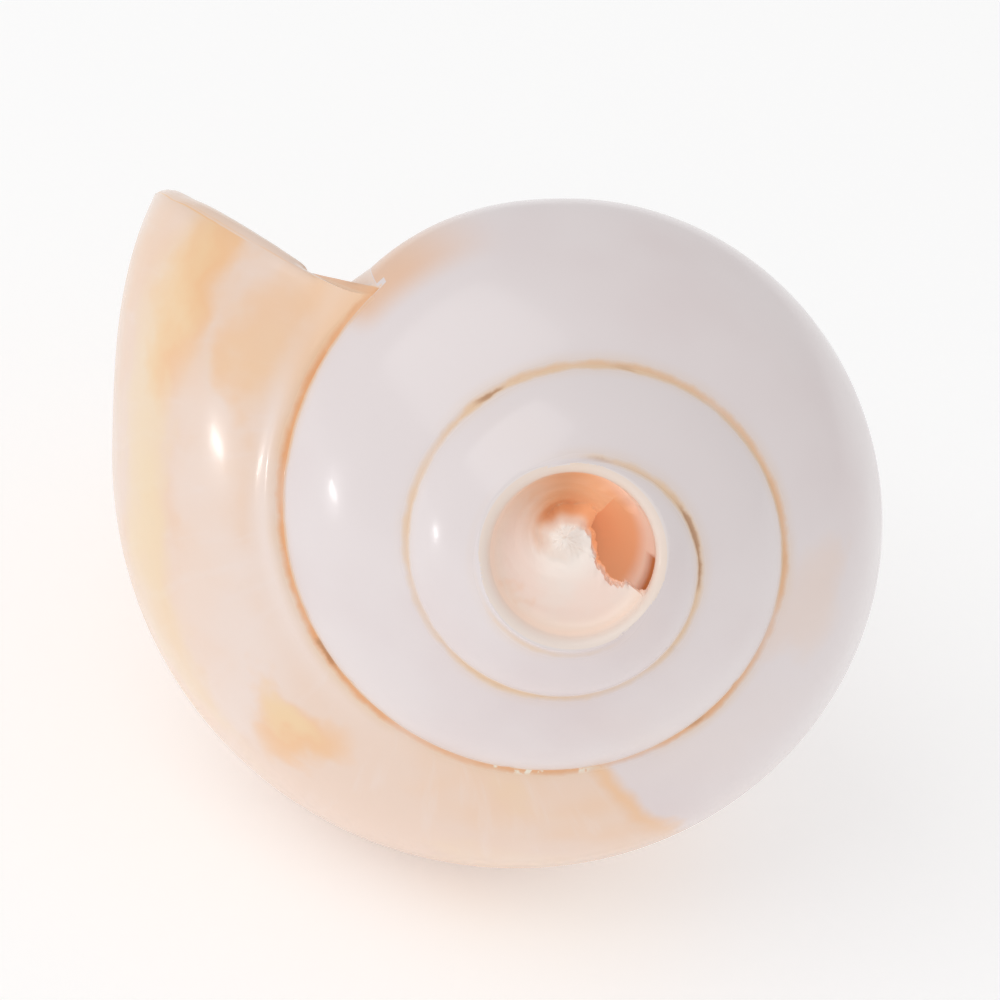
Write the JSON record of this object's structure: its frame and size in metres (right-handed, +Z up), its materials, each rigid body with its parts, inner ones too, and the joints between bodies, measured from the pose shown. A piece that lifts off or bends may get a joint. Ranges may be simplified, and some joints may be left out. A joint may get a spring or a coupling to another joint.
{
  "type": "conch shell",
  "caption": "Polished conch shell with a low coiled spire, a wide last whorl, an open mouth running into a short canal, and its tip cut off to a round blow hole; it lies on its back.",
  "frame": {"origin": "bottom centre of the bounding box, on the surface that the shell lies on", "axes": "+Z up; the cut tip with its blow hole faces -Y and the canal points to +Y; the mouth opens upward on the -X side, towards +X"},
  "size_m": [0.069, 0.1036, 0.0649],
  "materials": {
    "polished_shell": "polished shell: glossy cream-white spire, peach last whorl, orange seams"
  },
  "bodies": {
    "root": {"shell": "polished_shell"}
  },
  "joints": []
}
